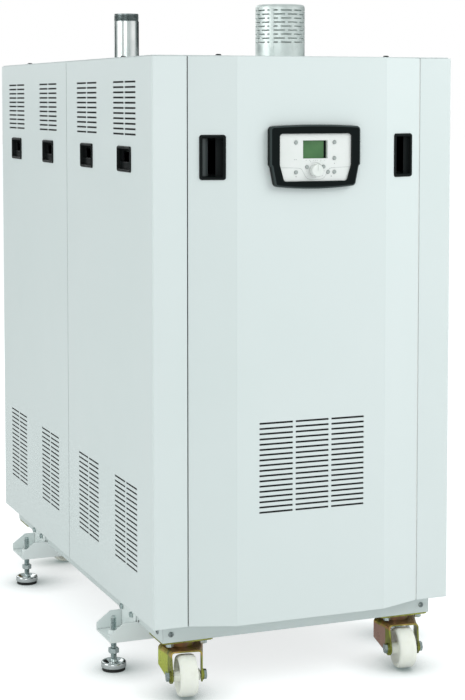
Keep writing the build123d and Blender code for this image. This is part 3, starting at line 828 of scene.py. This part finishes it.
pad_model = model_foot_pad()
stud_model = model_foot_stud()
foot_middles = {}
for corner in corners:
    foot_low, foot_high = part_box(corner + "_foot")
    foot_middles[corner] = (foot_low + foot_high) / 2
    place = [Matrix.Translation((foot_middles[corner].x, foot_middles[corner].y, 0))]
    body = corner + "_foot"
    pad = lay_out(pad_model, corner + "_foot_pad", place, "chrome", body)
    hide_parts(corner + "_foot")
    lay_out(stud_model, corner + "_foot_stud", place, "bright_zinc", body)
discard(pad_model, stud_model)


# Caster wheels

def model_wheel():
    """Nylon wheel about Z: rounded tread, dished sides, a raised rib round the hub and a bored hub."""
    sides, bore, bore_sides = 72, 0.0061, 32
    half = [
        (0.0100, 0.0260), (0.0110, 0.0250), (0.0112, 0.0125), (0.0125, 0.0117),
        (0.0255, 0.0117), (0.0275, 0.0122), (0.0318, 0.0166), (0.0330, 0.0174),
        (0.0346, 0.0175), (0.0363, 0.0170), (0.0379, 0.0156), (0.0390, 0.0132),
        (0.0397, 0.0098), (0.0400, 0.0050),
    ]
    rings = [(radius, -height) for radius, height in half]
    rings += list(reversed(half))
    wheel = turned(rings, sides)
    drill = start_with(
        bpy.ops.mesh.primitive_cylinder_add, vertices=bore_sides, radius=bore, depth=4 * half[0][1]
    )
    apply_modifier(wheel, "BOOLEAN", operation="DIFFERENCE", object=drill, solver="EXACT")
    discard(drill)
    return wheel


wheel_model = model_wheel()
for corner in corners:
    axle = joints[corner + "_wheel_spin"]
    place = [facing(axle["pos_m"], axle["axis"])]
    wheel = lay_out(wheel_model, corner + "_nylon_wheel", place, "nylon", corner + "_wheel")
    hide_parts(corner + "_caster_wheel")
discard(wheel_model)


# Fasteners

def rounded_head(radius, height, shares, sides):
    """A turned head on the plane Z = 0, from shares of its radius and height."""
    rings = [(across_share * radius, up_share * height) for across_share, up_share in shares]
    return turned(rings, sides)


def model_cross_screw(radius):
    """Pan-head screw with a cross recess, standing on the plane Z = 0."""
    height_share, sides = 0.52, 24
    recess_length_share, recess_width_share, recess_depth_share = 1.15, 0.26, 0.6
    head_shares = ((1, 0), (1, 0.30), (0.94, 0.62), (0.78, 0.88), (0.50, 1))
    height = height_share * radius
    head = rounded_head(radius, height, head_shares, sides)
    recess_depth = recess_depth_share * height
    recess = (recess_length_share * radius, recess_width_share * radius, 2 * recess_depth)
    for turn in (0, math.pi / 2):
        slit = start_with(
            bpy.ops.mesh.primitive_cube_add,
            scale=recess, size=1, location=(0, 0, height), rotation=(0, 0, turn),
        )
        apply_modifier(head, "BOOLEAN", operation="DIFFERENCE", object=slit, solver="EXACT")
        discard(slit)
    return head


def model_hex_bolt(across, head_height, washer_radius, washer_height):
    """Hex head on a washer, standing on the plane Z = 0."""
    edge_share, chamfer_share, sides = 0.25, 0.07, 32
    edge = edge_share * washer_height
    rings = [
        (washer_radius - edge, 0.0),
        (washer_radius, edge),
        (washer_radius, washer_height - edge),
        (washer_radius - edge, washer_height),
    ]
    washer = turned(rings, sides)
    head = hexagon(across, washer_height, washer_height + head_height, chamfer_share * head_height)
    return joined("hex_bolt", washer, head)


side_rail_low, side_rail_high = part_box("base_side_rails")
end_rail_low, end_rail_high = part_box("base_end_rails")
plate_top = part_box("caster_plates")[1].z
top_low, top_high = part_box("top_panel")
rear_low, rear_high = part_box("rear_panel")

rail_screw_radius, rail_screw_inset, rail_screw_setback, rail_screw_height = 0.0052, 0.017, 0.028, 0.122
rail_screw = model_cross_screw(rail_screw_radius)
places = []
for way in (-1, 1):
    across = way * (side_rail_high.x - rail_screw_inset)
    places.append(facing((across, end_rail_low.y, rail_screw_height), (0, -1, 0)))
    places.append(facing((across, end_rail_high.y, rail_screw_height), (0, 1, 0)))
    for along in (side_rail_low.y + rail_screw_setback, side_rail_high.y - rail_screw_setback):
        places.append(facing((way * side_rail_high.x, along, rail_screw_height), (way, 0, 0)))
lay_out(rail_screw, "rail_screws", places, "bright_zinc", finish="cut_steel")

rear_screw_inset, rear_screw_shares = 0.013, (0.03, 0.35, 0.65, 0.97)
places = []
for way in (-1, 1):
    for share in rear_screw_shares:
        height = rear_low.z + share * (rear_high.z - rear_low.z)
        places.append(facing((way * (rear_high.x - rear_screw_inset), rear_high.y, height), (0, 1, 0)))
lay_out(rail_screw, "rear_panel_screws", places, "bright_zinc")
discard(rail_screw)

top_screw_radius, top_screw_inset, top_screw_half_span = 0.0056, 0.011, 0.174
top_screw = model_cross_screw(top_screw_radius)
middle_y = (top_low.y + top_high.y) / 2
places = []
for way in (-1, 1):
    for along in (top_low.y + top_screw_inset, top_high.y - top_screw_inset):
        places.append(facing((way * top_screw_half_span, along, top_high.z), (0, 0, 1), (0, 1, 0)))
    for along in (middle_y - 2 * top_screw_half_span, middle_y + 2 * top_screw_half_span):
        across = way * (top_high.x - top_screw_inset)
        places.append(facing((across, along, top_high.z), (0, 0, 1), (0, 1, 0)))
lay_out(top_screw, "top_panel_screws", places, "bright_zinc", finish="blackened_steel")
discard(top_screw)

tongue_thickness, tongue_bolt_height, tongue_bolt_offsets = 0.003, 0.1148, (0.038, -0.024)
plug_radius, plug_height, plug_offset, plug_drop, plug_sides = 0.0024, 0.0012, -0.057, 0.005, 28
plug_shares = ((1, 0), (1, 0.18), (0.95, 0.42), (0.80, 0.70), (0.55, 0.91), (0.22, 1))
tongue_bolt = model_hex_bolt(
    across=0.010, head_height=0.0042, washer_radius=0.0062, washer_height=0.0012
)
plug = rounded_head(plug_radius, plug_height, plug_shares, plug_sides)
bolt_places = []
plug_places = []
for corner in corners:
    middle = foot_middles[corner]
    way = math.copysign(1, middle.x)
    for offset in tongue_bolt_offsets:
        place = (way * (side_rail_high.x + tongue_thickness), middle.y + offset, tongue_bolt_height)
        bolt_places.append(facing(place, (way, 0, 0)))
    place = (way * side_rail_high.x, middle.y + plug_offset, tongue_bolt_height - plug_drop)
    plug_places.append(facing(place, (way, 0, 0)))
lay_out(tongue_bolt, "bracket_bolts", bolt_places, "bright_zinc")
lay_out(plug, "rail_plugs", plug_places, "rubber")
discard(tongue_bolt, plug)

plate_bolt_half_width, plate_bolt_half_length, plate_thickness = 0.034, 0.031, 0.003
plate_bolt = model_hex_bolt(
    across=0.013, head_height=0.0068, washer_radius=0.0080, washer_height=0.0014
)
places = []
for corner in corners:
    swivel = joints[corner + "_caster_swivel"]["pos_m"]
    for across in (-plate_bolt_half_width, plate_bolt_half_width):
        for along in (-plate_bolt_half_length, plate_bolt_half_length):
            place = (swivel[0] + across, swivel[1] + along, plate_top - plate_thickness)
            places.append(facing(place, (0, 0, -1), (0, 1, 0)))
lay_out(plate_bolt, "caster_plate_bolts", places, "bright_zinc")
discard(plate_bolt)


# Dark mats behind the slots, standing in for the shade inside the casing

def model_mat():
    """A unit mat lying on Z = 0 with a pressed border, grown by its place's scale."""
    border, loft = 0.04, 1.0
    mat = start_with(bpy.ops.mesh.primitive_plane_add, size=1)
    edit_all(mat)
    bpy.ops.mesh.extrude_region_move(TRANSFORM_OT_translate={"value": (0, 0, loft / 2)})
    bpy.ops.mesh.inset(thickness=border, depth=loft / 2)
    return close_up(mat)


sheet_thickness, mat_loft = 0.0015, 0.004
side_mat_breadth, front_mat_breadth, front_mat_length, front_mat_height = 0.150, 0.235, 0.190, 0.440
mat_bands = ((1.118, 0.116), (0.310, 0.176))
mat_model = model_mat()
places = []
for side, way in (("left", -1), ("right", 1)):
    for spot in side_spots:
        along = opening_centre(f"{side}_{spot}_cup").y
        for height, length in mat_bands:
            place = (way * (-panel_low.x - sheet_thickness), along, height)
            size = Matrix.Diagonal((side_mat_breadth, length, mat_loft, 1))
            places.append(facing(place, (-way, 0, 0)) @ size)
place = (0, front_low.y + sheet_thickness, front_mat_height)
size = Matrix.Diagonal((front_mat_breadth, front_mat_length, mat_loft, 1))
places.append(facing(place, (0, 1, 0)) @ size)
lay_out(mat_model, "slot_shade_mats", places, "body_jacket")
discard(mat_model)


# Lock seam of the air inlet

seam_angle, seam_breadth, seam_proud, seam_margin = math.radians(-133), 0.009, 0.0008, 0.008
can_low, can_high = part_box("air_inlet")
can_middle = (can_low + can_high) / 2
can_radius = (can_high.x - can_low.x) / 2
seam_low, seam_high = top_high.z, can_high.z - seam_margin
lock_seam = start_with(
    bpy.ops.mesh.primitive_cube_add, scale=(2 * seam_proud, seam_breadth, seam_high - seam_low), size=1
)
lock_seam.name = "inlet_lock_seam"
pick(lock_seam, "EDGE", lambda edge: True)
bpy.ops.mesh.bevel(offset=seam_proud / 2, segments=3)
bpy.ops.object.mode_set(mode="OBJECT")
outward = Vector((math.cos(seam_angle), math.sin(seam_angle), 0))
seam_foot = Vector((can_middle.x, can_middle.y, (seam_low + seam_high) / 2))
lock_seam.location = seam_foot + can_radius * outward
lock_seam.rotation_euler = (0, 0, seam_angle)
dress(fix_place(lock_seam), "galvanised_steel")


# Pale strips in the joints between the side panels and down the closing edge of the front panel

# The strips are painted highlight, standing in for the light that the rounded panel folds catch.
strip_sink, strip_radius, strip_sides = 0.0004, 0.0016, 16
joint_low, joint_high = panel_high.y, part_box("left_rear_side_panel")[0].y
strip_ends = [(strip_radius, panel_low.z + strip_radius), (strip_radius, panel_high.z - strip_radius)]
strip_model = turned(strip_ends, strip_sides)
strip_x = -panel_low.x - strip_radius - strip_sink
strip_y = (joint_low + joint_high) / 2
closing_x = front_high.x + (joint_high - joint_low) / 2
closing_y = panel_low.y + strip_radius + strip_sink
strip_spots = ((-strip_x, strip_y), (strip_x, strip_y), (closing_x, closing_y))
places = [Matrix.Translation((across, along, 0)) for across, along in strip_spots]
lay_out(strip_model, "joint_highlight_strips", places, "face_plastic")
discard(strip_model)


# Pipe threads

thread_length, thread_core, thread_crest, thread_pitch = 0.018, 0.02866, 0.0299, 0.00231
thread_steps, cut_sides, cut_radius, cut_wall = 72, 96, 0.02885, 0.0022
flow_low, flow_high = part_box("flow_pipe")
return_low, return_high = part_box("return_pipe")
ridge = thread(thread_core, thread_crest, thread_pitch, -thread_length, 0, thread_steps)
cut_end = start_with(
    bpy.ops.mesh.primitive_cylinder_add,
    vertices=cut_sides, radius=cut_radius, depth=thread_length, end_fill_type="NOTHING",
    location=(0, 0, -thread_length / 2),
)
apply_modifier(cut_end, "SOLIDIFY", thickness=cut_wall, offset=-1, use_rim=True)
pipe_thread = joined("pipe_thread", ridge, cut_end)
flow_middle = (flow_low + flow_high) / 2
return_middle = (return_low + return_high) / 2
thread_places = {
    "flow_thread_ridge": Matrix.Translation((flow_middle.x, flow_middle.y, flow_high.z)),
    "return_thread_ridge": facing((return_middle.x, return_high.y, return_middle.z), (0, 1, 0)),
}
for name, place in thread_places.items():
    lay_out(pipe_thread, name, [place], "pipe_steel", finish="cut_steel")
discard(pipe_thread)


# Markings of the control unit, and a painted shadow in its display window

face_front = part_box("control_face")[0].y
knob_at = Vector(joints["control_knob_turn"]["pos_m"])
ink_thickness = 0.00008


def on_face(across, up):
    """A place on the control face, measured from the knob's axis."""
    return facing((knob_at.x + across, face_front, knob_at.z + up), (0, -1, 0))


def stamp(corner_count, radius, stretch=(1.0, 1.0), turn=0.0):
    """A small flat mark with the given count of corners, on the plane Z = 0."""
    mark = start_with(
        bpy.ops.mesh.primitive_circle_add,
        vertices=corner_count, radius=radius, fill_type="NGON", rotation=(0, 0, turn),
    )
    mark.scale = (*stretch, 1)
    edit_all(fix_place(mark))
    bpy.ops.mesh.extrude_region_move(TRANSFORM_OT_translate={"value": (0, 0, ink_thickness)})
    return close_up(mark)


bar = stamp(corner_count=4, radius=0.0012, stretch=(1.0, 0.28), turn=math.pi / 4)
dot = stamp(corner_count=12, radius=0.0007)
arrow = stamp(corner_count=3, radius=0.0014, turn=math.pi / 2)
tick_radius, tick_count, tick_sweep = 0.0185, 9, math.radians(250)
legend_rise, legend_pitch, legend_count = 0.0185, 0.0075, 6
arrow_spots = ((-0.0395, -0.0115), (0.033, -0.0115))
dot_spots = ((-0.0395, 0.0205), (-0.0425, 0.0205), (0.0395, 0.0125))
bar_places = []
for step in range(tick_count):
    angle = math.pi / 2 + tick_sweep * (step / (tick_count - 1) - 0.5)
    place = on_face(tick_radius * math.cos(angle), tick_radius * math.sin(angle))
    bar_places.append(place @ Matrix.Rotation(angle, 4, "Z"))
for step in range(legend_count):
    bar_places.append(on_face((step - (legend_count - 1) / 2) * legend_pitch, legend_rise))
screen_low, screen_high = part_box("display_screen")
screen_middle = (screen_low + screen_high) / 2
# A black bar down the window's right edge is a painted shadow of the window's recess.
shadow_share, shadow_margin = 0.085, 0.0006
shadow_breadth = shadow_share * (screen_high.x - screen_low.x)
shadow_length = screen_high.z - screen_low.z - 2 * shadow_margin
shadow_bar = stamp(
    corner_count=4, radius=1 / math.sqrt(2), stretch=(shadow_breadth, shadow_length), turn=math.pi / 4
)
shadow_x = screen_high.x - shadow_margin - shadow_breadth / 2
shadow_place = facing((shadow_x, screen_low.y, screen_middle.z), (0, -1, 0))
lay_out(shadow_bar, "display_recess_shadow", [shadow_place], "display_glass", finish="black_plastic")
discard(shadow_bar)
marks = joined(
    "control_marks",
    copies(bar, "bars", bar_places),
    copies(dot, "dots", [on_face(*spot) for spot in dot_spots]),
    copies(arrow, "arrows", [on_face(*spot) for spot in arrow_spots]),
)
dress(marks, "button_plastic", finish="marking_ink")
discard(bar, dot, arrow)


def make_face_seam_shade_line():
    """The fine parting line that crosses the face and dips round the knob, drawn as a grey line of painted shade
    for its groove.
    """
    half_width, well_half_width, well_foot_half_width = 0.0715, 0.027, 0.016
    line_rise, well_drop, seam_radius = 0.0055, 0.0172, 0.00028
    lead, ease, sag = 0.006, 0.004, 0.0004
    path = [
        (-half_width, line_rise),
        (-well_half_width - lead, line_rise - sag),
        (-well_half_width, line_rise - ease),
        (-well_foot_half_width - ease, -well_drop + ease),
        (-well_foot_half_width + ease, -well_drop),
        (0.0, -well_drop - sag),
    ]
    path += [(-across, up) for across, up in reversed(path[:-1])]
    curve = bpy.data.curves.new("face_seam_shade_line", "CURVE")
    curve.dimensions = "3D"
    curve.bevel_depth = seam_radius
    curve.bevel_resolution = 2
    curve.use_fill_caps = True
    line = curve.splines.new("NURBS")
    line.points.add(len(path) - 1)
    for point, (across, up) in zip(line.points, path):
        point.co = (knob_at.x + across, face_front, knob_at.z + up, 1)
    line.order_u = 3
    line.use_endpoint_u = True
    seam = bpy.data.objects.new("face_seam_shade_line", curve)
    bpy.context.collection.objects.link(seam)
    work_on(seam)
    bpy.ops.object.convert(target="MESH")
    return bpy.context.object


dress(make_face_seam_shade_line(), "button_plastic")


# Studio

def make_floor():
    """A pale glowing table that runs out of sight, dimmer in the light it throws and in reflections, with a
    painted contact shadow.
    """
    reach, glow, thrown_glow, mirrored_glow = 40.0, 0.76, 0.45, 0.20
    glow_colour, shaded_glow, shaded = (0.985, 1.0, 1.0), (0.22, 0.27, 0.26), (0.10, 0.12, 0.12)
    floor = start_with(bpy.ops.mesh.primitive_plane_add, size=2 * reach)
    floor.name = "studio_floor"
    finish, tree, shader, where = new_finish("studio_floor", Roughness=0.9, Specular_IOR_Level=0.1)
    path = add_node(tree, "LightPath").outputs
    bright = remap(tree, path["Is Camera Ray"], To_Min=thrown_glow, To_Max=glow)
    dimming = mirrored_glow - thrown_glow
    pale = mottled(tree, where, (0.44, 0.455, 0.46), (0.46, 0.475, 0.48), scale=0.8)
    # Painted shadow: the floor's colour and glow darken near the feet and wheels.
    contact_shadow = add_effect(tree, "painted_shade", Distance=0.10, Onset=0.99)["Mask"]
    feed_named(
        tree, shader,
        Base_Color=tint(tree, contact_shadow, pale, shaded),
        Emission_Color=tint(tree, contact_shadow, glow_colour, shaded_glow),
        Emission_Strength=work_out(tree, "MULTIPLY_ADD", path["Is Glossy Ray"], dimming, bright),
    )
    floor.data.materials.append(finish)


def make_world():
    """White surround for the picture, and a studio of light and dark walls that reflections meet."""
    towards_front = (-0.37, -0.929, 0.0)
    dark, grey, pale = (0.03, 0.04, 0.04), (0.30, 0.35, 0.35), (0.42, 0.45, 0.45)
    white, ahead = (1.0, 1.0, 1.0), (0.60, 0.64, 0.64)
    wall_tones = ((0.26, dark), (0.42, grey), (0.54, white), (0.76, white), (0.92, ahead))
    world = bpy.data.worlds.new("studio")
    world.use_nodes = True
    bpy.context.scene.world = world
    tree = world.node_tree
    direction = add_node(tree, "TexCoord").outputs["Generated"]
    toward = work_out(tree, "DOT_PRODUCT", direction, towards_front, kind="VectorMath")
    walls = colour_ramp(tree, remap(tree, toward, From_Min=-1.0, From_Max=1.0), wall_tones)
    overhead = remap(tree, component(tree, direction, "Z"), From_Min=0.08, From_Max=0.26)
    studio = tint(tree, overhead, walls, pale)
    around = feed_named(tree, tree.nodes["Background"], Color=(0.955, 1.0, 0.985, 1), Strength=0.68)
    mirrored = add_node(tree, "Background", Color=studio, Strength=1.0)
    seen = add_node(tree, "Background", Color=(1, 1, 1, 1), Strength=1.0)
    path = add_node(tree, "LightPath").outputs
    thrown = feed_row(
        tree, add_node(tree, "MixShader"), path["Is Glossy Ray"], around.outputs[0], mirrored.outputs[0]
    )
    chosen = feed_row(
        tree, add_node(tree, "MixShader"), path["Is Camera Ray"], thrown.outputs[0], seen.outputs[0]
    )
    feed_named(tree, tree.nodes["World Output"], Surface=chosen.outputs[0])


def add_softbox(name, place, target, size, power, colour, mirrored):
    """A square soft light aimed at a point, seen in reflections or not."""
    light = bpy.data.lights.new(name, "AREA")
    light.shape = "SQUARE"
    light.size = size
    light.energy = power
    light.color = colour
    lamp = bpy.data.objects.new(name, light)
    bpy.context.collection.objects.link(lamp)
    lamp.visible_camera = False
    lamp.visible_glossy = mirrored
    lamp.location = place
    lamp.rotation_euler = (Vector(target) - Vector(place)).to_track_quat("-Z", "Y").to_euler()


def make_camera():
    """The photograph's camera, found from the cabinet's edges: place, heading, dip and framing."""
    place = (-1.3466, -3.5736, 1.1324)
    heading, dip = math.radians(21.609), math.radians(4.071)
    camera = bpy.data.cameras.new("camera")
    camera.lens = 89.29
    camera.shift_y = -0.18
    camera.clip_end = 200
    stand = bpy.data.objects.new("camera", camera)
    bpy.context.collection.objects.link(stand)
    stand.location = place
    stand.rotation_euler = (math.pi / 2 - dip, 0, -heading)
    bpy.context.scene.camera = stand


make_floor()
make_world()
middle = (0.0, 0.0, 0.65)

# In the order in which add_softbox takes them

softboxes = (
    ("key", (1.9, -2.3, 2.6), (0.2, -0.5, 1.0), 1.6, 44, (0.99, 1.0, 1.0), False),
    ("fill", (-4.2, -0.2, 1.9), middle, 2.4, 30, (0.97, 1.0, 0.99), True),
    ("low_front", (-2.4, -4.2, 1.0), middle, 2.2, 18, (0.98, 1.0, 1.0), True),
    ("overhead", (0.0, 0.2, 4.2), middle, 3.0, 5, (1.0, 1.0, 1.0), True),
    ("rear", (-0.6, 4.2, 2.4), middle, 2.6, 22, (1.0, 1.0, 1.0), True),
)
for softbox in softboxes:
    add_softbox(*softbox)
make_camera()
bpy.context.scene.view_settings.view_transform = "Standard"
